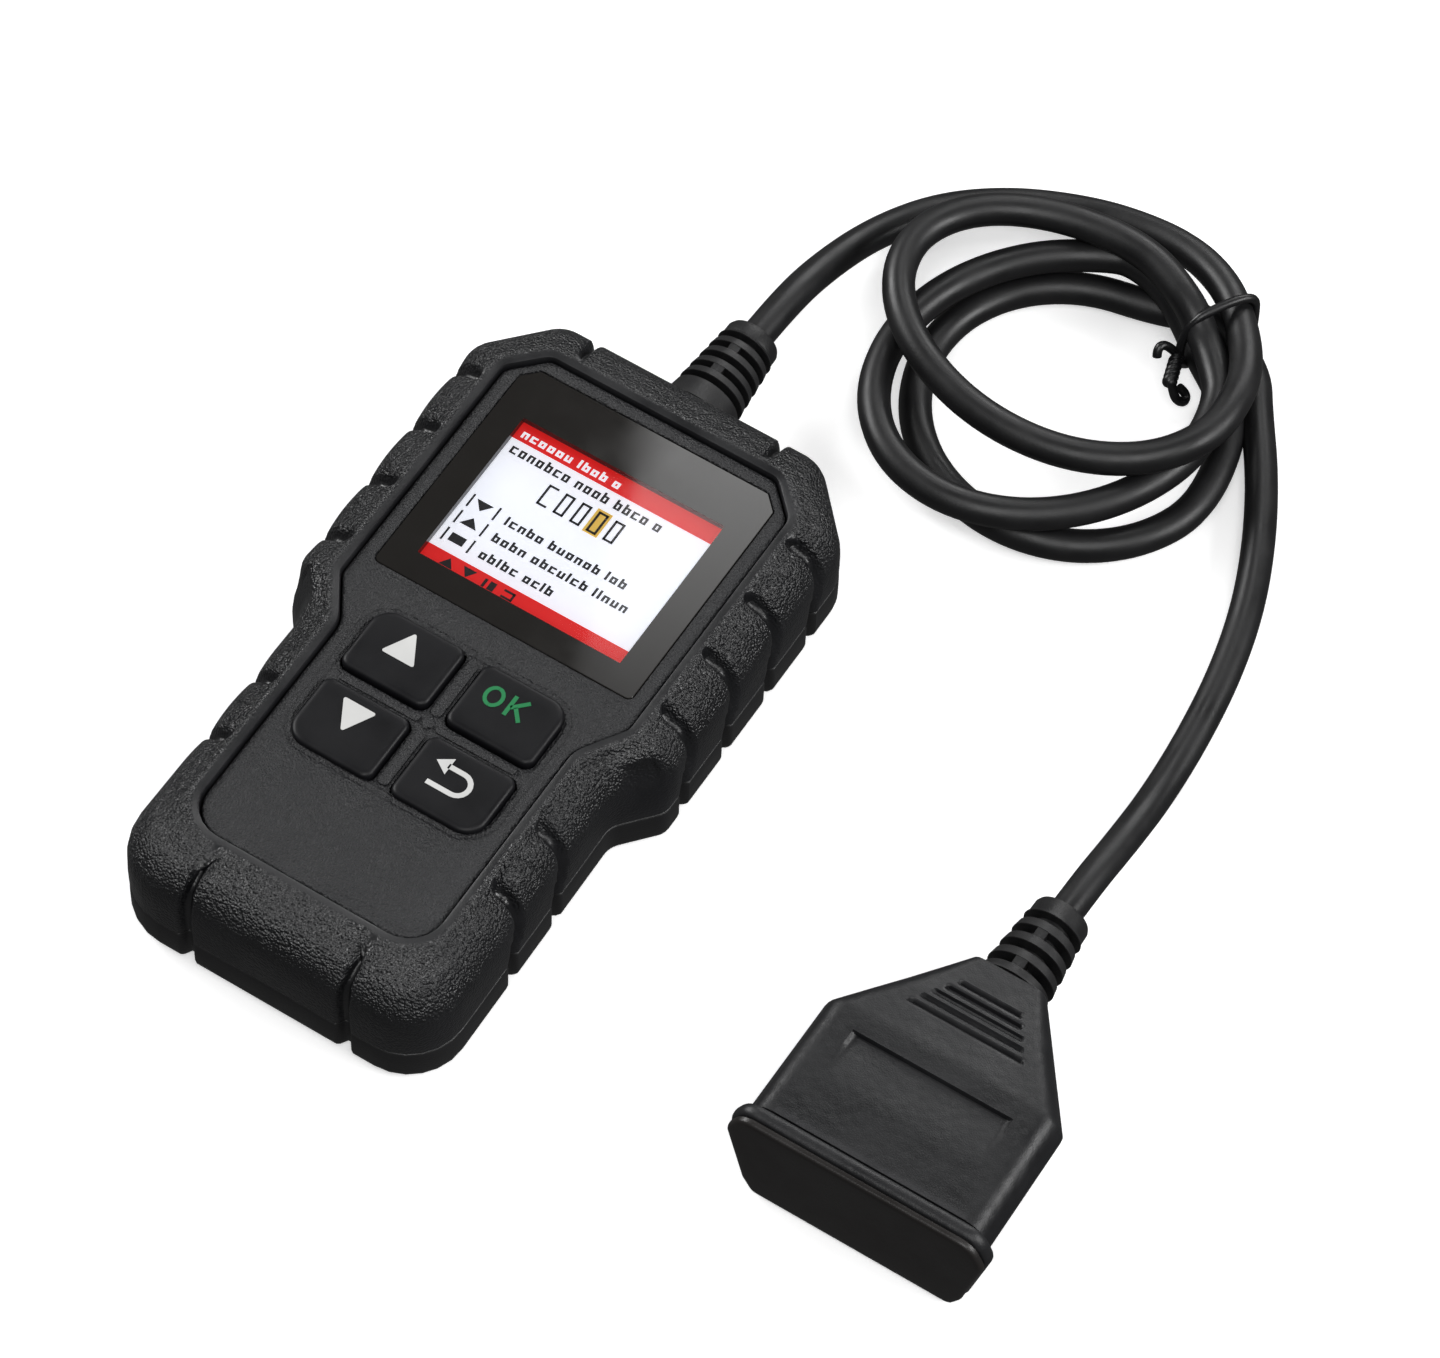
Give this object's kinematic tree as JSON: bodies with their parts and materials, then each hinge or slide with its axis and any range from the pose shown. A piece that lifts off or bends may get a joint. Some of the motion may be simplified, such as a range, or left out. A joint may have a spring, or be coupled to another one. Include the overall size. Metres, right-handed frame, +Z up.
{
  "type": "vehicle code reader",
  "caption": "Hand-held diagnostic reader with a colour display, a small keypad, a grip-edged case and a coiled captive cable to a D-shaped diagnostic plug.",
  "frame": {"origin": "centre of the case's footprint, on the surface it lies on", "axes": "+X across the case to the right of the display, +Y along the case towards the cable, +Z up out of the face"},
  "size_m": [0.1496, 0.195, 0.0223],
  "materials": {
    "case_plastic": "satin moulded",
    "textured_rubber": "coarse grained",
    "panel_plastic": "fine grained",
    "tape": "matt film",
    "window": "polished",
    "foam": "open foam",
    "screen": "lit display",
    "light_guide": "clear moulded",
    "steel": "bright",
    "flex_circuit": "amber film",
    "key_silicone": "smooth matt",
    "switch_plastic": "moulded",
    "plunger_plastic": "moulded",
    "board": "solder resist",
    "chip": "moulded epoxy",
    "aluminium_can": "drawn",
    "nylon": "moulded",
    "core_insulation": "extruded",
    "zinc_screw": "plated",
    "label_film": "matt film",
    "relief_rubber": "satin moulded",
    "cord_jacket": "satin extruded",
    "tie_plastic": "coated wire",
    "plug_plastic": "fine grained",
    "insulator": "moulded",
    "contact_brass": "plated",
    "cap_plastic": "smooth satin"
  },
  "bodies": {
    "case": {"rear_shell": "case_plastic", "front_bumper": "textured_rubber", "front_panel": "panel_plastic", "lens_adhesive": "tape", "lens_window": "window", "display_foam": "foam", "display_glass": "screen", "display_backlight": "light_guide", "display_frame": "steel", "display_flex": "flex_circuit", "keypad_web": "key_silicone", "tact_switches": "switch_plastic", "switch_plungers": "plunger_plastic", "main_board": "board", "processor": "chip", "bus_transceiver": "chip", "line_driver": "chip", "voltage_regulator": "chip", "power_inductor": "chip", "crystal": "steel", "capacitors": "aluminium_can", "resistors": "chip", "cable_header": "nylon", "cable_socket": "nylon", "cable_cores": "core_insulation", "case_screws": "zinc_screw", "board_screws": "zinc_screw", "rear_label": "label_film", "cable_grommet": "relief_rubber", "cord_lead": "cord_jacket", "cord_coil": "cord_jacket", "cord_tail": "cord_jacket", "coil_tie": "tie_plastic", "plug_relief": "relief_rubber", "plug_housing": "plug_plastic", "contact_block": "insulator", "upper_contacts": "contact_brass", "lower_contacts": "contact_brass"},
    "key_up": {"key_up": "key_silicone"},
    "key_ok": {"key_ok": "key_silicone"},
    "key_down": {"key_down": "key_silicone"},
    "key_back": {"key_back": "key_silicone"},
    "dust_cap": {"dust_cap": "cap_plastic"}
  },
  "joints": [
    {"name": "key_up_press", "type": "slide", "parent": "case", "child": "key_up", "axis": [0, 0, -1], "range_m": [0, 0.0008], "stiffness_N_per_m": 700},
    {"name": "key_ok_press", "type": "slide", "parent": "case", "child": "key_ok", "axis": [0, 0, -1], "range_m": [0, 0.0008], "stiffness_N_per_m": 700},
    {"name": "key_down_press", "type": "slide", "parent": "case", "child": "key_down", "axis": [0, 0, -1], "range_m": [0, 0.0008], "stiffness_N_per_m": 700},
    {"name": "key_back_press", "type": "slide", "parent": "case", "child": "key_back", "axis": [0, 0, -1], "range_m": [0, 0.0008], "stiffness_N_per_m": 700},
    {"name": "dust_cap_pull", "type": "slide", "parent": "case", "child": "dust_cap", "axis": [0, -1, 0], "range_m": [0, 0.03]}
  ]
}
